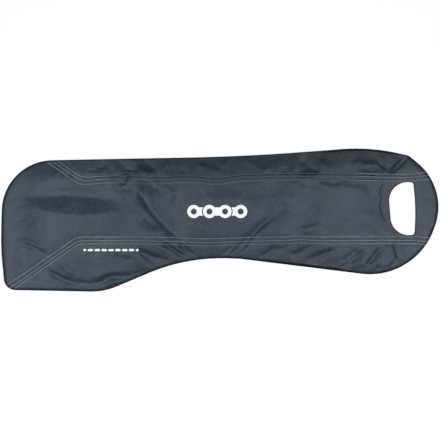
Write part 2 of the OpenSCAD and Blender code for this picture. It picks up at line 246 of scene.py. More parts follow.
# %% Draw the bands
UPPER, LOWER = 1, -1
OUTER_PITCH = 4.9       # from the middle row of a band to the row on its outer side
LOWER_LEVEL = 135.0
KNEE = {UPPER: TAIL + 127, LOWER: TAIL + 123.5}
KNEE_BEND, KNEE_POINTS = 9.0, 7
TAIL_SLOPE = {UPPER: 34.3, LOWER: -34.6}
NOSE_SLOPE = {UPPER: 8.0, LOWER: -4.0}
NOSE_SPREAD = 0.25      # how much more the outer rows slope there than the middle one
ROW_POINTS = 120
UPPER_RISE, RISE_FROM, RISE_RUN = 4.1, 300, 170
# Where a fold draws a band down or lets it up: run, half width and depth
SAGS = {
    UPPER: [(133, 24, 2.2), (254, 16, 1.8), (347, 22, 4), (640, 40, 1.4)],
    LOWER: [(327, 60, 2.8), (480, 22, -1.6)],
}


def smooth(t):
    """A soft step from 0 to 1."""
    t = np.clip(t, 0, 1)
    return t * t * (3 - 2 * t)


def band_level(side, x):
    """The height of a band's middle row on the pattern."""
    run = x - TAIL
    sag = sum(depth * np.exp(-((run - at) / half) ** 2) for at, half, depth in SAGS[side])
    if side == UPPER:
        return UPPER_RISE * smooth((run - RISE_FROM) / RISE_RUN) - UPPER_LEVEL - sag
    return -LOWER_LEVEL - sag


def row_off(side, k):
    """How far row k of a band lies above its middle row."""
    return k * (OUTER_PITCH if k * side > 0 else INNER_PITCH)


def bent(a, b, c):
    """Points of a curve from a to c that is pulled towards b."""
    t = np.linspace(0, 1, KNEE_POINTS)[:, None]
    return (1 - t) ** 2 * a + 2 * t * (1 - t) * b + t * t * c


def band_line(side, off):
    """A line along a band, off millimetres above its middle row, with its knee rounded."""
    slope = math.radians(TAIL_SLOPE[side])
    way = np.array((-math.cos(slope), math.sin(slope)))
    corner = np.array((KNEE[side], band_level(side, KNEE[side])))
    knee = mitre(corner, -way, np.array((1.0, 0.0)), -off)
    start = knee[0] + KNEE_BEND
    curve = bent(knee + way * KNEE_BEND, knee, np.array((start, band_level(side, start) + off)))
    grip = np.array((HOLE_X1, band_level(side, HOLE_X1) + off))
    xs = np.linspace(start, grip[0], ROW_POINTS)[1:]
    level = np.column_stack([xs, band_level(side, xs) + off])
    share = off / abs(row_off(side, math.copysign(1, off)))
    rise = math.radians(NOSE_SLOPE[side] * (1 + NOSE_SPREAD * share * side))
    return np.vstack([
        ray_hit(knee, way), curve, level, ray_hit(grip, (math.cos(rise), math.sin(rise))),
    ])


BANDS = {side: even(band_line(side, 0), OUTLINE_STEP, closed=False) for side in (UPPER, LOWER)}
print("bands", {side: len(line) for side, line in BANDS.items()})

# %% [markdown]
# ## A net of points over the pattern
# A grid of squares would leave steps along the curved edge. So rings of points follow both edges,
# close together where the edge is rolled, strips of points follow the stitching, and a triangular
# grid fills the rest. A Delaunay triangulation then joins all of them to one net for both panels.

# %% Lay out the net
EDGE_RINGS = (0, 0.35, 0.8, 1.4, 2.2, 3.4, 5.0)
STRIP_SIDE = 0.8    # how far the strips beside a row lie from it
STRIP_END = 2.7     # and the last strip of a band from its outer row
CELL = 2.2
GRID_MARGIN = 5
HOLE_LAP = 0.5      # how far the rolled edge of the hole stands over its facing
MERGE = 1e-4        # points closer than this are one


def inside(points, loop):
    """Which points lie in a closed loop."""
    hit = np.zeros(len(points), bool)
    for (x0, y0), (x1, y1) in zip(loop, np.roll(loop, -1, axis=0)):
        crosses = (y0 > points[:, 1]) != (y1 > points[:, 1])
        if y0 != y1:
            hit ^= crosses & (points[:, 0] < (x1 - x0) * (points[:, 1] - y0) / (y1 - y0) + x0)
    return hit


def strip_offs(side):
    """Lines of points along a band: on its rows, close beside them and between them."""
    low, high = row_off(side, -1), row_off(side, 1)
    beside = [off + e for off in (low, 0, high) for e in (-STRIP_SIDE, 0, STRIP_SIDE)]
    return beside + [low / 2, high / 2, low - STRIP_END, high + STRIP_END]


def edge_rings():
    """Points along both edges, ring by ring."""
    outer = [even(rounded(inset(PATTERN, d)), OUTLINE_STEP) for d in EDGE_RINGS]
    inner = [even(rounded(inset(HOLE, -d + HOLE_LAP)), HOLE_STEP) for d in EDGE_RINGS]
    return outer + inner


def net_points():
    strips = [
        even(band_line(side, off), OUTLINE_STEP, closed=False)
        for side in BANDS for off in strip_offs(side)
    ]
    xs = np.arange(TAIL - GRID_MARGIN, NOSE + GRID_MARGIN, CELL)
    ys = np.arange(outline[:, 1].min(), outline[:, 1].max(), CELL * math.sqrt(0.75))
    grid = np.array([(x + CELL / 2 * (j % 2), y) for j, y in enumerate(ys) for x in xs])
    band = np.minimum(distance(grid, BANDS[UPPER]), distance(grid, BANDS[LOWER]))
    grid = grid[band > INNER_PITCH + STRIP_END + 0.5 * CELL]
    filling = np.vstack([np.vstack(strips), grid])
    loose = inside(filling, outline) & ~inside(filling, hole)
    filling = filling[loose]
    margin = EDGE_RINGS[-1] + 0.5 * CELL
    clear = distance(filling, outline, closed=True) > margin
    clear &= distance(filling, hole, closed=True) > margin
    return np.vstack(edge_rings() + [filling[clear]])


def net_faces(points):
    """Triangles between the points, without those outside the outline or in the hole."""
    faces = delaunay_2d_cdt([Vector(p) for p in points], [], [], 0, MERGE)
    assert len(faces[0]) == len(points)
    places = np.array([tuple(v) for v in faces[0]])
    corners = np.array([f for f in faces[2] if len(f) == 3])
    middles = places[corners].mean(axis=1)
    lip = even(rounded(inset(HOLE, HOLE_LAP)), HOLE_STEP)
    return places, corners[inside(middles, outline) & ~inside(middles, lip)]


net, faces = net_faces(net_points())
print("net", len(net), "points", len(faces), "triangles")

# %% [markdown]
# ## How the front panel lies
# The front panel is held down along the seam, steps over the binding tape inside and rises to its
# full height in the middle. It is highest at the stiff hem of the mouth and slack behind it. A
# cloth simulation could find such a shape too, but a sum of a few soft steps can be read and
# changed, and each step below stands for one thing that holds the cloth or lets it go.

# %% The loft of the slack cloth
CLOTH_T = 0.9
BINDING_T = 0.9
LOFT = 8.6
MOUTH_DROP = 2.2        # how far the very edge of the mouth hangs below the cloth behind it
# How far from the seam the cloth is at full height: near the mouth, elsewhere and at the tail
MOUTH_LOFT_RUN, LOFT_RUN, TAIL_LOFT_RUN = 70.0, 64.0, 150.0
MOUTH_HOLE_RUN, HOLE_RUN = 60.0, 140.0  # and from the hand hole: near the mouth and elsewhere
TAIL_ZONE = 110.0       # length of the tail, and of its change to the rest
SLACK_FROM, SLACK_EASE = 20.0, 45.0     # how far behind the mouth the cloth gets slack
SLACK_SAG = 0.28        # how much lower the slack middle lies than the stiff hem


def gaps(points):
    """How far points are from the sewn edge, the hand hole and the mouth."""
    return distance(points, sewn), distance(points, hole, closed=True), distance(points, mouth)


def crown(gap, near_mouth, elsewhere, slack):
    """How much of its full height the cloth has at a gap from an edge."""
    tight = np.sin(math.pi / 2 * np.minimum(gap / near_mouth, 1))
    loose = np.sin(math.pi / 2 * np.minimum(gap / elsewhere, 1))
    return tight + (loose - tight) * slack


def loft(points, d, h, m):
    """How far the cloth rises over the tape, and how far it droops at the mouth."""
    slack = smooth((m - SLACK_FROM) / SLACK_EASE)
    at_tail = 1 - smooth((points[:, 0] - TAIL - TAIL_ZONE) / TAIL_ZONE)
    loft_run = LOFT_RUN + (TAIL_LOFT_RUN - LOFT_RUN) * at_tail
    dome = crown(d, MOUTH_LOFT_RUN, loft_run, slack) * crown(h, MOUTH_HOLE_RUN, HOLE_RUN, slack)
    droop = MOUTH_DROP * dome * np.maximum(1 - m / HOLE_TOP, 0)
    return (LOFT - BINDING_T) * dome * (1 - SLACK_SAG * slack), droop


for side, line in BANDS.items():
    rise, droop = loft(line, *gaps(line))
    print("loft under band", side, "from", rise.min(), "to", rise.max(), "mm")

# %% [markdown]
# ## Folds
# A packed cover keeps its folds. Each one is drawn here as a person would: a line along the fold,
# how high it stands and how wide it is on both sides. A simulation finds folds as well, but never
# the ones that are wanted, and a bump map would leave the cloth flat to an eye beside it.

# %% Draw the folds
# From left to right: height, half width above and below the line, and the run and level of the
# points that it passes. A valley has a negative height.
FOLDS = [
    # the long hollow at the tail: a valley along its upper side and a swelling along its lower one
    (-1.3, 27, 10, [(18, 67), (40, 67), (69, 64), (114, 61), (158, 67), (206, 78)]),
    (1.5, 12, 34, [(24, 82), (53, 84), (98, 92), (139, 95), (200, 88)]),
    # creases of the tail's lower corner
    (0.7, 4, 9, [(20, 133), (46, 137), (76, 153)]),
    (-0.8, 3, 4, [(22, 138), (44, 141), (66, 152), (80, 163)]),
    (-1.3, 3, 3, [(69, 176), (85, 190), (104, 199), (123, 204), (146, 206)]),
    (-2.8, 3.2, 3, [(112, 203), (128, 204), (141, 207), (152, 205), (163, 201), (170, 195), (179, 192),
        (198, 194), (213, 191), (229, 187), (246, 180)]),
    (0.3, 4, 6, [(155, 212), (168, 207), (181, 201), (194, 201), (206, 202), (226, 196)]),
    (0.9, 8, 5, [(140, 198), (156, 194), (168, 187), (190, 185), (214, 184)]),
    (0.8, 5, 8, [(92, 168), (104, 178), (120, 192)]),
    (-0.7, 4, 5, [(176, 158), (196, 164), (214, 166)]),
    # the fold that runs down from the upper band and ends at the waist
    (-3.6, 17, 8, [(212, 30), (218, 44), (222, 56), (231, 72), (239, 84), (247, 94), (257, 105),
        (269, 118), (286, 131), (300, 142)]),
    (-1.3, 8, 8, [(222, 92), (236, 104), (254, 118)]),
    (-0.7, 5, 6, [(176, 51), (196, 53), (216, 50)]),
    (-1.0, 7, 6, [(250, 44), (260, 53), (276, 64)]),
    # creases that gather at the waist
    (-3.4, 4, 7, [(214, 147), (220, 150), (234, 158), (250, 165), (274, 170)]),
    (-2.4, 2.6, 3, [(248, 132), (254, 136), (270, 145), (284, 155), (302, 165)]),
    (-2.2, 2.4, 3, [(280, 135), (286, 141), (298, 150), (311, 163)]),
    (0.9, 3, 4, [(262, 132), (278, 144), (292, 154)]),
    (-0.8, 2.4, 2.4, [(352, 162), (362, 150), (374, 142)]),
    (-2.8, 2.4, 3, [(366, 162), (378, 150), (387, 142), (397, 136)]),
    (-2.4, 9, 4, [(374, 160), (386, 146), (397, 132), (410, 118), (424, 105), (440, 92)]),
    (-1.0, 8, 8, [(428, 104), (444, 90), (462, 74)]),
    (-1.2, 4, 4, [(410, 166), (421, 159), (432, 150), (448, 142)]),
    (0.8, 5, 8, [(476, 121), (496, 114), (518, 108)]),
    # creases of the nose's lower half
    (-1.3, 4, 6, [(484, 168), (499, 162), (525, 153), (538, 146)]),
    (-1.1, 4, 5, [(540, 182), (552, 175), (574, 158), (582, 148)]),
    (-1.2, 4, 5, [(584, 176), (591, 168), (605, 151), (612, 142)]),
    (-2.8, 2.4, 4, [(633, 134), (637, 141), (641, 152), (648, 170)]),
    (-0.9, 2.4, 2.4, [(626, 138), (630, 144), (637, 166)]),
    # the sharp crease at the end of the mouth and the soft one beside it
    (-3.2, 3, 2.6, [(622, 29), (627, 24), (638, 13), (651, 0)]),
    (-0.9, 4, 3, [(598, 8), (607, 13), (616, 19), (629, 27)]),
    # the edge of the facing beside the hand hole
    (-0.9, 2.4, 2.4, [(614, 38), (612, 46), (609, 57), (612, 68), (609, 81), (612, 91), (617, 106)]),
    # soft places in the upper zone
    (-0.9, 8, 8, [(500, 36), (522, 42), (548, 44)]),
    (-1.0, 9, 8, [(474, 2), (490, 14), (508, 30)]),
    (1.2, 10, 9, [(212, 34), (232, 38), (252, 42)]),
    (1.3, 14, 20, [(318, 65), (354, 67), (392, 67)]),
    (1.3, 22, 28, [(274, 70), (350, 72), (430, 70), (514, 65)]),
    (1.4, 12, 18, [(491, 44), (526, 46), (558, 51), (597, 59)]),
    (1.1, 12, 12, [(472, 35), (494, 36), (520, 33)]),
    (1.0, 9, 9, [(456, 48), (474, 44), (494, 38)]),
    (0.9, 4, 12, [(568, 11), (594, 14), (619, 11)]),
    (1.0, 6, 9, [(216, 17), (230, 24), (245, 32)]),
    (-1.7, 6, 5, [(189, 51), (200, 35), (208, 16)]),
    (2.1, 8, 12, [(238, 41), (261, 54), (290, 64)]),
    (-0.9, 4, 5, [(427, 160), (443, 150), (466, 140)]),
    (-0.9, 4, 5, [(462, 163), (480, 152), (504, 139)]),
    (-0.8, 4, 5, [(542, 172), (558, 160), (571, 147)]),
    (0.8, 10, 6, [(536, 169), (574, 174), (613, 172), (645, 163)]),
]
print(len(FOLDS), "folds drawn")

# %% Raise a fold from the cloth
FOLD_DEPTH = 1.35       # how high a fold stands, as a share of how it is drawn
FOLD_SHARP = 1.5        # 2 would make every fold round, and 1 a knife edge
FOLD_TAPER = 0.3        # share of its length over which it fades at each end
FOLD_REACH = 3          # how far beside its line it is still felt, in half widths


def bend(points):
    """A smooth line past a few points: a quarter is cut off both ends of its sides, three times."""
    line = np.array(points, float)
    for _ in range(3):
        a, b = line[:-1], line[1:]
        cut = np.column_stack([0.75 * a + 0.25 * b, 0.25 * a + 0.75 * b]).reshape(-1, 2)
        line = np.vstack([line[:1], cut, line[-1:]])
    return line


def fold_at(points, height, above, below, way):
    """The relief of one fold: highest along its line and tapered to both ends."""
    line = even(bend([(TAIL + run, -level) for run, level in way]), OUTLINE_STEP, closed=False)
    margin = FOLD_REACH * max(above, below)
    low, high = line.min(axis=0) - margin, line.max(axis=0) + margin
    near = ((points > low) & (points < high)).all(axis=1)
    gap, left, along = follow(points[near], line)
    profile = np.exp(-(gap / np.where(left, above, below)) ** FOLD_SHARP)
    relief = np.zeros(len(points))
    relief[near] = height * profile * smooth(np.minimum(along, 1 - along) / FOLD_TAPER)
    return relief


print("the hollow at the tail goes down to", fold_at(net, *FOLDS[0]).min(), "mm")

# %% [markdown]
# ## Small creases
# Along the lower edge of the nose and behind the mouth the cloth is full of small creases, of
# which no single one matters. They could be listed like the folds, but that would be pages of
# numbers. So chance draws them, within limits, and a seed makes it choose the same each time.

# %% Leave the small creases to chance
CREASE_SEED = 4
NOSE_RUNS = (500, 640, 18)      # from, to and step of the creases along the nose
MOUTH_RUNS = (90, 600, 17)      # and of the dapples behind the mouth


def small_creases():
    """Creases along the lower edge of the nose, and dapples along the mouth."""
    dice = np.random.default_rng(CREASE_SEED)
    made = []
    for run in np.arange(*NOSE_RUNS):
        x, level, lean = run + dice.uniform(-4, 4), dice.uniform(158, 180), dice.uniform(0.5, 1.5)
        size = dice.uniform(7, 12)
        way = [(x - size, level + size * lean), (x, level), (x + size, level - size)]
        made.append((dice.uniform(-0.5, -0.25), 3, 5, way))
    for run in np.arange(*MOUTH_RUNS):
        x, level, size = run + dice.uniform(-6, 6), dice.uniform(6, 30), dice.uniform(6, 13)
        rise = dice.uniform(-1.1, 1.1)
        height = dice.uniform(0.2, 0.45) * dice.choice((-1, 1))
        way = [(x - size, level + size * rise), (x, level), (x + size, level - size * rise)]
        made.append((height, 5, 6, way))
    return made


creases = small_creases()
print(len(creases), "small creases")


def fold_relief(points):
    return FOLD_DEPTH * sum(fold_at(points, *fold) for fold in FOLDS + creases)


# %% [markdown]
# ## Wrinkles of the stitching and of the cloth
# A row of stitches draws the cloth down, so it puffs up between the rows and wrinkles across
# them. The wrinkles come from smooth noise, which is stretched along the way they run. Displacing
# the mesh by a texture would do the same, but here the height stays one sum that can be read.

# %% Smooth noise
WAVES = ((0.6, 62, 1.0), (0.35, 30, 5.0), (0.14, 14, 9.0))      # height, size and shift of each
CRUMPLE_H, CRUMPLE_MEAN = 0.3, 0.3      # height of the sharp ridges of old folds, and their mean
CRUMPLE_WIDE, CRUMPLE_FINE = 22, 11     # size of the wide and the fine ones


def ripple(points, size, shift, stretch=(1.0, 1.0)):
    """Smooth noise from -1 to 1 whose waves are about size wide, drawn out by a stretch."""
    u, v = points[:, 0] / (size * stretch[0]), points[:, 1] / (size * stretch[1])
    return np.array([noise.noise((a, b, shift)) for a, b in zip(u, v)])


def waves(points):
    return sum(height * ripple(points, size, shift) for height, size, shift in WAVES)


def crumple(points):
    wide = np.abs(ripple(points, CRUMPLE_WIDE, 13.0))
    fine = np.abs(ripple(points, CRUMPLE_FINE, 17.0)) * 0.5
    return CRUMPLE_H * (wide + fine - CRUMPLE_MEAN)


print("waves along the lower band up to", waves(BANDS[LOWER]).max(), "mm")

# %% Quilting and puckers
QUILT_PUFF, QUILT_SINK = 0.45, 0.35     # height between the rows, and depth at the rows
PUFF_ROUND = 0.8        # 1 would puff the cloth up as a sine, and less makes it fuller
SINK_FALL = 1.8         # how fast the cloth comes up again outside a band, per row
PUCKER_H, PUCKER_SIZE, PUCKER_SHIFT = 0.3, 7, 3.0
PUCKER_STRETCH = (1, 4)
PUCKER_REACH = 1.6      # how far they run out from a band, in rows


def band_place(points, side):
    """How far points lie above the middle row of a band, in rows."""
    gap, left, _ = follow(points, BANDS[side])
    off = np.where(left, gap, -gap)
    return off / np.where(off * side > 0, OUTER_PITCH, INNER_PITCH)


def quilting(points):
    """Cloth drawn down along each row of a band and puffed up between the rows."""
    total = np.zeros(len(points))
    for side in BANDS:
        k = band_place(points, side)
        within = QUILT_PUFF * np.abs(np.sin(math.pi * k)) ** PUFF_ROUND - QUILT_SINK
        beyond = -QUILT_SINK * np.exp(-(np.abs(k) - 1) * SINK_FALL)
        total += np.where(np.abs(k) < 1, within, beyond)
    return total


def puckers(points):
    """Short wrinkles that run out from the stitching."""
    total = np.zeros(len(points))
    for side in BANDS:
        out = np.maximum(np.abs(band_place(points, side)) - 1, 0)
        wrinkles = ripple(points, PUCKER_SIZE, PUCKER_SHIFT + side, stretch=PUCKER_STRETCH)
        total += PUCKER_H * np.exp(-out / PUCKER_REACH) * wrinkles
    return total


print("puckers along the lower band up to", puckers(BANDS[LOWER]).max(), "mm")

# %% [markdown]
# ## Both faces of the front panel
# Inside, a hem is turned under along the mouth, and three patches of hook tape are sewn to it.
# Above them the cloth is held flat, so the underside loses its relief there. A boolean cut would
# make room for them too, but it would leave a pocket where the real cloth only lies on its tape.

# %% Where the hook patches hold the cloth flat
PATCH_RUNS = ((132, 212), (322, 402), (512, 592))
PATCH_EASE = 8.0        # run over which the relief comes back beside a patch
PATCH_RIM, PATCH_REACH, PATCH_REACH_EASE = 2, 26.0, 5   # the same, inwards from the mouth
PATCH_GAP = 0.36        # room between the relief and the tape


def patch_share(run, m):
    """One where a hook patch is sewn to the underside, nothing away from the patches."""
    along = sum(
        smooth((run - start) / PATCH_EASE + 1) * smooth((end - run) / PATCH_EASE + 1)
        for start, end in PATCH_RUNS
    )
    return along * smooth(m / PATCH_RIM) * smooth((PATCH_REACH - m) / PATCH_REACH_EASE)


print("patches hold", patch_share(np.arange(0, NOSE - TAIL), HEM_W / 2).sum(), "mm of the hem")

# %% Add up the heights
VALLEY_LIMIT = 0.85     # most that a valley may take off the rise of the cloth, as a share
SEAM_W, TAPE_EASE = 1.6, 2      # width of the flat seam, and of the step on to the tape in it
WAVE_EASE = 30          # how far from the seam and the hole the cloth is free to wave
HOLE_RIM = 4            # width of the stiff rim round the hole
FOLD_SEAM, FOLD_EASE = 2, 7             # the same limits for folds, at the seam
FOLD_HOLE, FOLD_HOLE_EASE = 1, 6        # and at the hole
RIDGE_H, RIDGE_EASE = 0.12, 2           # height of the tape's print through the cloth
RIDGE_END, RIDGE_END_EASE = 10.5, 2.5
ROLL = 1.3              # how far in from the edge the cloth has turned flat
RIM_T = 0.15            # what is left of its thickness at the very edge
MOUTH_LAP = 0.3         # how far the mouth's edge is rolled past its line
HEM_EASE = 4
HEM_START, HEM_START_EASE = 12, 20      # how far from the seam the hem starts


def rolled(gap):
    """One on the flat cloth, down to nothing round its rolled edge."""
    return np.sqrt(1 - (1 - np.clip(gap / ROLL, 0, 1)) ** 2)


def front_heights(points):
    """Heights of the upper and the lower face of the front panel."""
    d, h, m = gaps(points)
    over_tape = BINDING_T * smooth((d - SEAM_W) / TAPE_EASE)
    rise, droop = loft(points, d, h, m)
    free = smooth((d - SEAM_W) / WAVE_EASE) * smooth((h - HOLE_RIM) / WAVE_EASE)
    near = smooth((d - FOLD_SEAM) / FOLD_EASE) * smooth((h - FOLD_HOLE) / FOLD_HOLE_EASE)
    folds = np.maximum(waves(points) * free + fold_relief(points) * near, -VALLEY_LIMIT * rise)
    relief = folds + (crumple(points) + quilting(points) + puckers(points)) * near
    ridge = 1 - smooth((d - RIDGE_END) / RIDGE_END_EASE)
    seam = RIDGE_H * smooth((d - FOLD_SEAM) / RIDGE_EASE) * ridge
    level = CLOTH_T + over_tape + rise - droop + relief + seam
    edge = np.minimum(d, np.minimum(h + HOLE_LAP, m + MOUTH_LAP))
    top = level + RIM_T + (CLOTH_T - RIM_T) * rolled(edge)
    hem = CLOTH_T * smooth((HEM_W - m) / HEM_EASE) * smooth((d - HEM_START) / HEM_START_EASE)
    under = level - hem - (relief + PATCH_GAP) * patch_share(points[:, 0] - TAIL, m)
    return np.maximum(top, under + CLOTH_T), under


front_top, front_under = front_heights(net)
print("front panel from", front_under.min(), "to", front_top.max(), "mm")

# %% [markdown]
# ## The back panel
# The back panel lies flat on the floor, so only its edges need shape: the seam is rolled up to meet
# the front, and a hem is turned in along the mouth. It shows past the front where the mouth gapes.
# A plane with a Solidify modifier would be the short way, but then its edge would be a sharp step.

# %% Heights of the back panel
BACK_HEM_EASE = 1.5
BACK_HEM_START, BACK_HEM_START_EASE = 14.0, 3


def back_heights(points):
    """Heights of the upper and the lower face of the back panel."""
    d, h, m = gaps(points)
    under = (CLOTH_T - RIM_T) * (1 - rolled(np.minimum(d, h + HOLE_LAP)))
    inner = smooth((d - BACK_HEM_START) / BACK_HEM_START_EASE)
    return CLOTH_T + CLOTH_T * smooth((HEM_W - m) / BACK_HEM_EASE) * inner, under


back_top, back_under = back_heights(net)
print("back panel from", back_under.min(), "to", back_top.max(), "mm")

# %% [markdown]
# ## From a net to cloth
# Cloth is one sheet with a right side, a lining side and a thin edge between them. The same net
# makes both sides, and its open borders are joined by a strip, so the panel is closed all round.
# Along a stretch of the mouth the front's edge stays back, so that the lining shows beyond it.

# %% Draw the front's edge back
PEEK_START, PEEK_END, PEEK = 500, 650, 2.2      # from and to which run, and how far
PEEK_REACH = 24         # how far from the mouth the cloth moves with its edge
PEEK_SEAM = 14          # and how far from the seam it comes free


def stretch_share(run, start, end, ease=26.0):
    """One between two runs, eased to nothing at both ends."""
    return smooth((run - start) / ease) * smooth((end - run) / ease)


def drawn_in(points):
    """Points of the front panel, with its mouth edge drawn back from the one under it."""
    moved = points.copy()
    d, _, m = gaps(points)
    along = stretch_share(points[:, 0] - TAIL, PEEK_START, PEEK_END)
    moved[:, 1] -= PEEK * along * smooth(1 - m / PEEK_REACH) * smooth(d / PEEK_SEAM)
    return moved


front_net = drawn_in(net)
print("the front stays back by up to", (net - front_net)[:, 1].max(), "mm")

# %% [markdown]
# ## Tones
# The cloth's colour holds painted light and shade: its rim is painted dark as shade, where it turns
# away from the light, the zone behind the mouth is painted darker as shade, and the tail and the grip
# are painted paler as light. A painted texture could hold this, but a number at each point is enough,
# because each tone follows a line that is known.

# %% Tones of the shell
# The rim is painted dark: painted shade, where the rolled edge turns away from the light.
RIM_FROM, RIM_EASE = 1.2, 1.5           # how wide the dark rim is, and how it ends
# Where the seam rolls under the front: from and to which run, and how much wider the painted shade of
# the rim is there
UNDER_ROLL_START, UNDER_ROLL_END, UNDER_ROLL = 402, 560, 1.7
WAIST_Y = -100          # below it lies the lower seam
# The zone behind the mouth is painted darker: painted shade, where the cloth slopes away from the
# light.
MOUTH_ROWS = 1.2        # rows of the band over which the dark zone ends
MOUTH_ZONE, MOUTH_EASE = 118, 74        # run where it starts, and over which it comes
MOUTH_FADE, MOUTH_FADE_EASE, MOUTH_FADE_TO = 560, 80, 0.75      # and where most of it goes
# The tail and the grip are painted paler: painted light.
PAINTED_LIGHT_TAIL = 130       # length of the tail that is painted paler, as painted light
PAINTED_LIGHT_GRIP, PAINTED_LIGHT_GRIP_EASE, PAINTED_LIGHT_GRIP_SHARE = 600, 60, 0.5


def rim_painted_shade(points):
    """How dark the painted shade on the rim of the shell is: one at its very edge, nothing past it."""
    d, h, m = gaps(points)
    along = stretch_share(points[:, 0] - TAIL, UNDER_ROLL_START, UNDER_ROLL_END)
    wider = np.where(points[:, 1] < WAIST_Y, UNDER_ROLL * along, 0)
    edge = np.minimum(d - wider, np.minimum(h + HOLE_LAP, m + MOUTH_LAP))
    return 1 - smooth((edge - RIM_FROM) / RIM_EASE)


def mouth_painted_shade(points):
    """One in the zone of painted shade between the mouth and the upper band, nothing below it."""
    run = points[:, 0] - TAIL
    above = smooth(band_place(points, UPPER) / MOUTH_ROWS + 0.5)
    fade = 1 - MOUTH_FADE_TO * smooth((run - MOUTH_FADE) / MOUTH_FADE_EASE)
    return above * smooth((run - MOUTH_ZONE) / MOUTH_EASE) * fade


def painted_light_tone(points):
    """How much painted light makes the cloth paler, at the tail and at the grip."""
    run = points[:, 0] - TAIL
    at_grip = smooth((run - PAINTED_LIGHT_GRIP) / PAINTED_LIGHT_GRIP_EASE)
    return smooth(1 - run / PAINTED_LIGHT_TAIL) + PAINTED_LIGHT_GRIP_SHARE * at_grip


front_tones = {"rim": rim_painted_shade(net), "mouth_zone": mouth_painted_shade(net), "painted_light": painted_light_tone(net)}
back_tones = {**front_tones, "mouth_zone": np.zeros(len(net))}
print("mean tones", {key: round(float(tone.mean()), 3) for key, tone in front_tones.items()})

# %% Make the panels
def cloth_mesh(name, points, faces, top, under, tones):
    """A closed sheet: upper side, lower side and the strip that joins them at every border."""
    count = len(points)
    place = (points - MIDDLE) * MM
    verts = np.vstack([np.column_stack([place, top * MM]), np.column_stack([place, under * MM])])
    sides = np.vstack([faces[:, [0, 1]], faces[:, [1, 2]], faces[:, [2, 0]]])
    known = {(int(a), int(b)) for a, b in sides}
    rim = [(a, b) for a, b in known if (b, a) not in known]
    polygons = faces.tolist() + (faces[:, ::-1] + count).tolist()
    polygons += [(b, a, a + count, b + count) for a, b in sorted(rim)]
    mesh = bpy.data.meshes.new(name)
    mesh.from_pydata(verts.tolist(), [], polygons)
    mesh.polygons.foreach_set("use_smooth", [True] * len(polygons))
    lining = [0] * len(faces) + [1] * len(faces) + [0] * len(rim)
    mesh.materials.append(None)
    mesh.materials.append(None)
    mesh.polygons.foreach_set("material_index", lining)
    for key, tone in tones.items():
        mesh.attributes.new(key, "FLOAT", "POINT").data.foreach_set("value", np.tile(tone, 2))
    used = np.zeros(2 * count, bool)
    used[np.unique(np.array([v for p in polygons for v in p]))] = True
    assert used.all(), f"{(~used).sum()} loose points"
    mesh.update()
    piece = bpy.data.objects.new(name, mesh)
    bpy.context.scene.collection.objects.link(piece)
    return piece


front_cloth = cloth_mesh("front_cloth", front_net, faces, front_top, front_under, front_tones)
back_cloth = cloth_mesh("back_cloth", net, faces, back_top, back_under, back_tones)
first, second = net[faces[:, 1]] - net[faces[:, 0]], net[faces[:, 2]] - net[faces[:, 0]]
cut_area = float(np.abs(cross_z(first.T, second.T)).sum()) / 2 * MM * MM

# %% [markdown]
# ## Stitches
# A machine leaves a row of short stitches that sink into the cloth at both ends. One stitch is
# modelled from a cylinder: its ends are drawn in and pulled down. Then it is copied along the six
# rows, a thread's length apart, and each row becomes one piece. Bump alone would be quicker, but
# thread lies on top of the cloth, and from the side one sees that.

# %% Model one stitch
STITCH_LEN, THREAD_W, THREAD_H = 3.05, 1.5, 0.7
STITCH_SIDES = 6        # few, because there are well over a thousand stitches
STITCH_BEND = STITCH_LEN / 5    # how far from its middle the thread bends down
END_SHRINK = 0.7        # how much the thread narrows where it dives in
END_SINK = 0.2          # how deep its ends lie in the cloth


def model_stitch():
    """One stitch along X, its middle resting on z = 0, in millimetres."""
    bpy.ops.mesh.primitive_cylinder_add(
        vertices=STITCH_SIDES, radius=0.5, depth=1, end_fill_type="NOTHING",
    )
    made = bpy.context.object
    bpy.ops.transform.rotate(value=math.pi / 2, orient_axis="Y", center_override=(0, 0, 0))
    bpy.ops.transform.resize(value=(STITCH_LEN, THREAD_W, THREAD_H))
    bpy.ops.object.transform_apply(location=True, rotation=True, scale=True)
    bpy.ops.object.mode_set(mode="EDIT")
    for side in (-1, 1):
        bpy.ops.mesh.select_all(action="SELECT")
        bpy.ops.mesh.bisect(plane_co=(side * STITCH_BEND, 0, 0), plane_no=(1, 0, 0))
    bpy.ops.mesh.select_all(action="DESELECT")
    bpy.ops.object.mode_set(mode="OBJECT")
    for v in made.data.vertices:
        v.select = abs(v.co.x) > 2 * STITCH_BEND
    bpy.ops.object.mode_set(mode="EDIT")
    bpy.ops.mesh.select_mode(type="VERT")
    bpy.ops.transform.resize(value=(1, END_SHRINK, END_SHRINK), center_override=(0, 0, 0))
    bpy.ops.transform.translate(value=(0, 0, -END_SINK))
    bpy.ops.object.mode_set(mode="OBJECT")
    return made


stitch = model_stitch()
stitch_verts = np.array([v.co for v in stitch.data.vertices])
stitch_faces = [tuple(f.vertices) for f in stitch.data.polygons]
print("stitch", len(stitch_verts), "points", len(stitch_faces), "faces")
print("from", stitch_verts.min(axis=0), "to", stitch_verts.max(axis=0), "mm")
bpy.data.objects.remove(stitch)

# %% Sew the rows
STITCH_PITCH = 3.1
THREAD_LIFT = 0.12      # how far the thread lies on top of the cloth
ROW_END = 2.4           # how far a row stops short of the edge
# How much painted shade darkens the thread of a band: at both ends of the cover, and between which two
# runs
THREAD_SHADES = {UPPER: (0.2, 0.85, 160, 584), LOWER: (0.0, 0.42, 180, 520)}


def thread_places(side, k):
    """Middles of the stitches of a row and the way each one runs."""
    line = even(band_line(side, row_off(side, k)), STITCH_PITCH, closed=False)
    line = line[distance(line, outline, closed=True) > ROW_END]
    ways = np.gradient(line, axis=0)
    return line, ways / np.linalg.norm(ways, axis=1)[:, None]


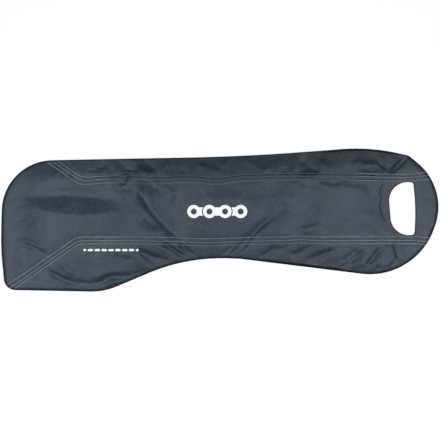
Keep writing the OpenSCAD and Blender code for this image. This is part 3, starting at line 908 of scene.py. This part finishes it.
def sewn_row(middles, ways):
    """Points and faces of a row of stitches that lies on the panel and follows its wrinkles."""
    ends = np.vstack([middles - ways * STITCH_LEN / 2, middles, middles + ways * STITCH_LEN / 2])
    tops = front_heights(ends)[0].reshape(3, -1)
    along = stitch_verts[:, 0] / STITCH_LEN
    verts, polygons = [], []
    for i, (middle, way) in enumerate(zip(middles, ways)):
        across = np.array((-way[1], way[0]))
        flat = middle + stitch_verts[:, :1] * way + stitch_verts[:, 1:2] * across
        height = np.interp(along, (-0.5, 0, 0.5), tops[:, i]) + stitch_verts[:, 2] + THREAD_LIFT
        verts.append(np.column_stack([(flat - MIDDLE) * MM, height * MM]))
        polygons += [tuple(v + len(stitch_verts) * i for v in face) for face in stitch_faces]
    return np.vstack(verts), polygons


def sew(name, side, k):
    """One row of stitches as one piece."""
    middles, ways = thread_places(side, k)
    verts, polygons = sewn_row(middles, ways)
    mesh = bpy.data.meshes.new(name)
    mesh.from_pydata(verts.tolist(), [], polygons)
    mesh.polygons.foreach_set("use_smooth", [True] * len(polygons))
    # The thread is painted darker where its band lies in shade: painted shade.
    at_ends, between, start, end = THREAD_SHADES[side]
    painted_thread_shade = at_ends + (between - at_ends) * stretch_share(middles[:, 0] - TAIL, start, end)
    shaded = np.repeat(painted_thread_shade, len(stitch_verts))
    mesh.attributes.new("shaded", "FLOAT", "POINT").data.foreach_set("value", shaded)
    piece = bpy.data.objects.new(name, mesh)
    bpy.context.scene.collection.objects.link(piece)
    print(name, len(middles), "stitches")
    return piece


thread_rows = {}
for side, band in ((UPPER, "upper"), (LOWER, "lower")):
    for number, k in enumerate((-1, 0, 1), start=1):
        thread_rows[f"{band}_stitch_row_{number}"] = sew(f"{band}_thread_{number}", side, k)

# %% [markdown]
# ## Materials
# A material could be wired up node by node, but then its recipe gets lost. So one small class
# wraps a socket, and shader maths reads like arithmetic. One method adds any other node with its
# settings and values, and a few short ones name the nodes that cloth, thread and tape share.

# %% Shader arithmetic
def connect(tree, slot, value):
    if isinstance(value, Wire):
        tree.links.new(value.socket, slot)
    else:
        slot.default_value = value


def calc(operation, *values):
    """A Math node on wires and numbers."""
    tree = next(v.tree for v in values if isinstance(v, Wire))
    made = tree.nodes.new("ShaderNodeMath")
    made.operation = operation
    for slot, value in zip(made.inputs, values):
        connect(tree, slot, value)
    return Wire(tree, made.outputs[0])


class Wire:
    """A shader socket that can be used in arithmetic."""

    def __init__(self, tree, socket):
        self.tree, self.socket = tree, socket

    def __add__(self, other):
        return calc("ADD", self, other)

    def __radd__(self, other):
        return calc("ADD", other, self)

    def __sub__(self, other):
        return calc("SUBTRACT", self, other)

    def __rsub__(self, other):
        return calc("SUBTRACT", other, self)

    def __mul__(self, other):
        return calc("MULTIPLY", self, other)

    def __rmul__(self, other):
        return calc("MULTIPLY", other, self)

    def __abs__(self):
        return calc("ABSOLUTE", self)

    def __mod__(self, other):
        return calc("FLOORED_MODULO", self, other)


# %% A material and its nodes
def sockets_by_name(sockets):
    named = {s.name: s for s in reversed(sockets)}
    named.update({s.identifier: s for s in sockets})
    return named


class Finish:
    """A material and the one method that adds any node to it."""

    def __init__(self, name):
        self.material = bpy.data.materials.new(name)
        self.material.use_nodes = True
        self.tree = self.material.node_tree
        self.tree.nodes.clear()

    def node(self, kind, settings, values, out):
        made = self.tree.nodes.new(kind)
        for key, value in settings.items():
            setattr(made, key, value)
        for key, value in values.items():
            connect(self.tree, sockets_by_name(made.inputs)[key], value)
        return Wire(self.tree, sockets_by_name(made.outputs)[out])

    def place(self):
        return self.node("ShaderNodeTexCoord", {}, {}, "Object")

    def axes(self):
        """The place on the piece in millimetres, along X and along Y."""
        place = self.place()
        x = self.node("ShaderNodeSeparateXYZ", {}, {"Vector": place}, "X")
        y = self.node("ShaderNodeSeparateXYZ", {}, {"Vector": place}, "Y")
        return x * 1000, y * 1000

    def noise(self, size, detail=2.0):
        """Cloudy noise from 0 to 1 with features of about size millimetres."""
        values = {"Vector": self.place(), "Scale": 1000 / size, "Detail": detail}
        return self.node("ShaderNodeTexNoise", {}, values, "Fac")

    def tone(self, key):
        """A number that the mesh holds at each point."""
        return self.node("ShaderNodeAttribute", {"attribute_name": key}, {}, "Fac")

    def blend(self, share, a, b):
        """Colour a, going over to colour b with the share."""
        values = {"Factor_Float": share, "A_Color": a, "B_Color": b}
        return self.node("ShaderNodeMix", {"data_type": "RGBA"}, values, "Result_Color")

    def bump(self, height, depth):
        """A bump whose height of 0 to 1 stands for depth millimetres."""
        values = {"Height": height, "Strength": 1.0, "Distance": depth * MM}
        return self.node("ShaderNodeBump", {}, values, "Normal")

    def surface(self, **values):
        """The material with a Principled surface of these values."""
        values = {key.replace("_", " "): value for key, value in values.items()}
        shader = self.node("ShaderNodeBsdfPrincipled", {}, values, "BSDF")
        return self.end(shader)

    def end(self, shader):
        """The material, with this shader as its surface."""
        made = self.tree.nodes.new("ShaderNodeOutputMaterial")
        self.tree.links.new(shader.socket, made.inputs["Surface"])
        return self.material


def srgb(r, g, b):
    """A colour written as a painter reads it on screen, from 0 to 255, in linear light."""
    return tuple(((c / 255 + 0.055) / 1.055) ** 2.4 for c in (r, g, b)) + (1.0,)


def shade(colour, share):
    """The same colour, made darker or lighter."""
    return tuple(share * c for c in colour[:3]) + (1.0,)


# %% [markdown]
# ## The shell cloth
# The shell is a coated polyester in a fine plain weave, slate grey and a little blue, with a soft
# gloss. Its thread count is too fine for geometry, so the weave is bump, from two sine waves that
# cross. Clouds of tone, broad and fine, keep the large areas from looking like plastic.

# %% Shell cloth
# The dark rim colour is painted shade, where the rolled edge turns away from the light.
CLOTH, RIM_PAINTED_SHADE = srgb(42, 50, 59), srgb(10, 12, 15)
# MOUTH_SHADE paints shade on the zone behind the mouth, and the other share paints light on the tail
# and the grip.
MOUTH_SHADE, PAINTED_LIGHT_LIFT = 0.55, 1.4   # how light the two zones are, next to the rest
MOTTLE = 0.3            # how far the tone of the cloth strays to both sides
CLOUD_WIDE, CLOUD_FINE, CLOUD_CONTRAST = 38, 3.0, 3.4
WEAVE, LINING_WEAVE = 0.95, 0.8         # pitch of the weaves, so that they show from near by
SHEEN = 0.178           # how strongly the coat mirrors the lights
SHEEN_TINT = (0.8, 0.91, 1.0, 1.0)
CRINKLE = 0.12          # depth of the weave and of the finest wrinkles


def weave_height(f, pitch):
    x, y = f.axes()
    turn = 2 * math.pi / pitch
    return calc("SINE", x * turn) * calc("SINE", y * turn) * 0.5 + 0.5


def mottled(f, cloud, share):
    """The colour of the cloth, a share as light, with its clouds of tone."""
    return f.blend(cloud, shade(CLOTH, (1 - MOTTLE) * share), shade(CLOTH, (1 + MOTTLE) * share))


def cloth_colour(f):
    mixed = f.noise(CLOUD_WIDE, 3.0) * 0.4 + f.noise(CLOUD_FINE, 2.0) * 0.6
    cloud = (mixed - 0.5) * CLOUD_CONTRAST + 0.5
    # The tail and the grip are painted paler: painted light.
    cloth = f.blend(f.tone("painted_light"), mottled(f, cloud, 1.0), mottled(f, cloud, PAINTED_LIGHT_LIFT))
    # The zone behind the mouth gets painted shade.
    cloth = f.blend(f.tone("mouth_zone"), cloth, mottled(f, cloud, MOUTH_SHADE))
    # The rim is painted dark: painted shade on the rolled edge.
    return f.blend(f.tone("rim"), cloth, RIM_PAINTED_SHADE)


print("cloth", [round(c, 4) for c in CLOTH[:3]], "in linear light")

# %% [markdown]
# ## A plain print
# A white print sits on the middle of the sleeve. Here it is a bare pictogram of a roller chain:
# one plate over two others, with a hole at each pin, and a row of link marks stands further down.
# A picture would have to be painted first. Here each plate is a distance, so the shader draws it
# sharp at any scale, and the two under plates are one shape by symmetry.

# %% Chain pictogram
PRINT = srgb(236, 239, 241)
PRINT_X, PRINT_LEVEL = -4.0, 88.3
LINK_PITCH, PLATE_R, WAIST_R, PIN_R, PLATE_GAP = 25.0, 10.5, 6.6, 4.8, 1.7
MARK_X, MARK_LEVEL = -174.0, 150.0
MARK_PITCH, MARK_HALF, MARK_R, MARKS = 11.0, 2.6, 1.7, 8


def capsule(along, y, half, radius):
    """How far a point is outside a bar with round ends, half its straight run to both sides."""
    out = calc("MAXIMUM", abs(along) - half, 0)
    return calc("SQRT", out * out + y * y) - radius


def link_plate(u, y):
    """How far a point is outside a plate with two round ends and a waist."""
    ends = capsule(abs(u) - LINK_PITCH / 2, y, 0, PLATE_R)
    waist = calc("MAXIMUM", abs(u) - LINK_PITCH / 2, abs(y) - WAIST_R)
    return calc("MINIMUM", ends, waist)


def chain_print(f):
    """One on the plates of the chain, nothing beside them."""
    x, y = f.axes()
    x, y = abs(x - PRINT_X), y - (-PRINT_LEVEL - MIDDLE[1])
    over, under = link_plate(x, y), link_plate(x - LINK_PITCH, y)
    pin = capsule(abs(x - LINK_PITCH) - LINK_PITCH / 2, y, 0, PIN_R)
    behind = calc("LESS_THAN", under, 0) * calc("GREATER_THAN", over, PLATE_GAP)
    return calc("MAXIMUM", calc("LESS_THAN", over, 0), behind) * calc("GREATER_THAN", pin, 0)


def mark_print(f):
    """A row of plain link marks under the lower band."""
    x, y = f.axes()
    x, y = x - MARK_X, y - (-MARK_LEVEL - MIDDLE[1])
    u = (x + MARK_PITCH / 2) % MARK_PITCH - MARK_PITCH / 2
    ring = calc("LESS_THAN", capsule(u, y, MARK_HALF, MARK_R), 0)
    return ring * calc("LESS_THAN", abs(x), MARKS / 2 * MARK_PITCH)


print("chain", 3 * LINK_PITCH + 2 * PLATE_R, "mm long, marks", MARKS * MARK_PITCH, "mm")

# %% The material of the shell
def on_top(f):
    """One on faces that look up, nothing on the others."""
    normal = f.node("ShaderNodeNewGeometry", {}, {}, "Normal")
    up = f.node("ShaderNodeSeparateXYZ", {}, {"Vector": normal}, "Z")
    return calc("GREATER_THAN", up, 0)


def shell_finish():
    f = Finish("shell_cloth")
    cloth = cloth_colour(f)
    printed = calc("MAXIMUM", chain_print(f), mark_print(f)) * on_top(f)
    height = weave_height(f, WEAVE) * 0.2 + f.noise(2.6, 2.0) * 0.3 + f.noise(7.0, 2.0) * 0.5
    return f.surface(
        Base_Color=f.blend(printed, cloth, PRINT),
        Roughness=0.38 + printed * 0.1,
        Specular_IOR_Level=SHEEN,
        Specular_Tint=SHEEN_TINT,
        Normal=f.bump(height, CRINKLE),
    )


shell = shell_finish()
print("shell", len(shell.node_tree.nodes), "nodes")

# %% [markdown]
# ## Lining, thread and tapes
# The lining is the bare back of the cloth, thread is twisted, binding tape is ribbed, and the two
# halves of the closure are stiff hooks and soft loops. Each gets a pattern of its own in colour
# and bump. Modelled hooks and loops would be thousands of faces that nobody sees.

# %% Lining and thread
TWIST = 14              # of the thread, in radians for each millimetre


def lining_finish():
    f = Finish("lining_cloth")
    colour = f.blend(f.noise(30, 3.0), srgb(34, 38, 43), srgb(44, 48, 54))
    weave = f.bump(weave_height(f, LINING_WEAVE), 0.08)
    return f.surface(Base_Color=colour, Roughness=0.6, Specular_IOR_Level=0.3, Normal=weave)


def thread_finish():
    f = Finish("sewing_thread")
    x, y = f.axes()
    twist = calc("SINE", (x + y) * TWIST) * 0.5 + 0.5
    sheen = f.blend(twist * 0.4 + f.noise(14) * 0.6, srgb(82, 89, 96), srgb(152, 159, 166))
    # The shaded tone paints the thread darker: painted shade.
    colour = f.blend(f.tone("shaded"), sheen, srgb(60, 67, 75))
    return f.surface(Base_Color=colour, Roughness=0.5, Normal=f.bump(twist, 0.08))


lining, thread = lining_finish(), thread_finish()
print("made", lining.name, "and", thread.name)

# %% Tapes
RIBS, HOOKS = 5.2, 4.2  # pitch of the patterns, in radians for each millimetre
FUZZ = 1.1              # size of the loops' tufts


def tape_finish():
    f = Finish("binding_tape")
    x, y = f.axes()
    rib = calc("SINE", (x + y) * RIBS) * 0.5 + 0.5
    colour = f.blend(rib, srgb(24, 26, 29), srgb(42, 45, 49))
    return f.surface(Base_Color=colour, Roughness=0.75, Normal=f.bump(rib, 0.15))


def hook_finish():
    f = Finish("hook_tape")
    x, y = f.axes()
    hooks = calc("SINE", x * HOOKS) * calc("SINE", y * HOOKS) * 0.5 + 0.5
    colour = f.blend(hooks, srgb(14, 15, 17), srgb(40, 42, 45))
    return f.surface(Base_Color=colour, Roughness=0.45, Normal=f.bump(hooks, 0.4))


def loop_finish():
    f = Finish("loop_tape")
    fuzz = f.noise(FUZZ, 4.0)
    colour = f.blend(fuzz, srgb(18, 19, 21), srgb(52, 54, 57))
    return f.surface(Base_Color=colour, Roughness=0.9, Normal=f.bump(fuzz, 0.5))


tapes = {
    "seam_binding": tape_finish(), "hole_facing": tape_finish(),
    "hook_patches": hook_finish(), "loop_patches": loop_finish(),
}
print("tapes for", list(tapes))

# %% Put the materials on
front_cloth.data.materials[0], front_cloth.data.materials[1] = shell, lining
back_cloth.data.materials[0], back_cloth.data.materials[1] = lining, shell
for name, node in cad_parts.items():
    node.data.materials.clear()
    node.data.materials.append(tapes.get(name, thread))
print("materials", [m.name for m in bpy.data.materials])

# %% [markdown]
# ## Seat the pieces
# Every new piece is told which body it rides on, and the measured piece that it stands for is hidden.
# The binding, the facing and the patches are the measured pieces themselves, so they stay.

# %% Seat the pieces
for piece, node in ((front_cloth, "front_panel"), (back_cloth, "back_panel")):
    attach(piece, "root")
    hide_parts(node)
for node, row in thread_rows.items():
    row.data.materials.append(thread)
    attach(row, "root")
    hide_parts(node)

# %% [markdown]
# ## Floor and light
# A cover is pictured on white paper, under two soft boxes that stand to its left and right and a
# little towards its waist. A slope that faces a box stays bright and one that turns away gets
# dark, so the folds show. One lamp from above would draw each fold as two dark lines. To the
# camera the paper glows white, and to the cover it is paper, so its shadow stays.

# %% Floor
PAPER = (0.95, 0.95, 0.95, 1)
WHITE = (1, 1, 1, 1)
GLOW, GLOW_SHARE = 1.03, 0.75
FLOOR_SIDE, FLOOR_DROP = 8, 0.0004


def floor_finish():
    f = Finish("paper_floor")
    rays = [
        f.node("ShaderNodeLightPath", {}, {}, f"Is {kind} Ray")
        for kind in ("Camera", "Glossy", "Transmission")
    ]
    seen = calc("MAXIMUM", calc("MAXIMUM", rays[0], rays[1]), rays[2]) * GLOW_SHARE
    paper = f.node("ShaderNodeBsdfDiffuse", {}, {"Color": PAPER}, "BSDF")
    glow = f.node("ShaderNodeEmission", {}, {"Color": WHITE, "Strength": GLOW}, "Emission")
    shaders = {"Fac": seen, "Shader": paper, "Shader_001": glow}
    return f.end(f.node("ShaderNodeMixShader", {}, shaders, "Shader"))


bpy.ops.mesh.primitive_plane_add(size=FLOOR_SIDE, location=(0, 0, -FLOOR_DROP))
floor = bpy.context.object
floor.name = "floor"
floor.data.materials.append(floor_finish())
print("floor", tuple(floor.dimensions), "m")

# %% Light
SKY = 0.2
world = bpy.data.worlds.new("studio")
bpy.context.scene.world = world
world.use_nodes = True
world.node_tree.nodes["Background"].inputs["Color"].default_value = WHITE
world.node_tree.nodes["Background"].inputs["Strength"].default_value = SKY

BOX_SIDE, BOX_POWER = 0.4, 11.5
BOXES = {"box_left": (-0.45, -0.12, 1.5), "box_right": (0.45, -0.12, 1.5)}
for name, place in BOXES.items():
    box = bpy.data.objects.new(name, bpy.data.lights.new(name, "AREA"))
    box.data.energy = BOX_POWER
    box.data.size = BOX_SIDE
    box.location = place
    box.rotation_euler = Vector(place).to_track_quat("Z", "Y").to_euler()
    bpy.context.scene.collection.objects.link(box)
    print(name, "at", place, "m")

# %% [markdown]
# ## Camera
# The camera looks straight down, as in a catalogue. A long lens from far away keeps the cover's
# outline true, where a short one would show the sides of what stands up. Its distance follows
# from the lens and from the width that it has to take in.

# %% Camera
VIEW_W = 0.704
LENS, SENSOR = 200.0, 36.0
CENTRE = (0.0004, 0.0001)
CLOTH_LEVEL = 0.006     # the level at which the view has its width
camera = bpy.data.objects.new("camera", bpy.data.cameras.new("camera"))
camera.data.lens = LENS
camera.data.sensor_width = SENSOR
camera.location = (*CENTRE, VIEW_W * LENS / SENSOR + CLOTH_LEVEL)
bpy.context.scene.collection.objects.link(camera)
bpy.context.scene.camera = camera
bpy.context.scene.view_settings.view_transform = "Standard"
print("camera", round(camera.location.z, 3), "m up")
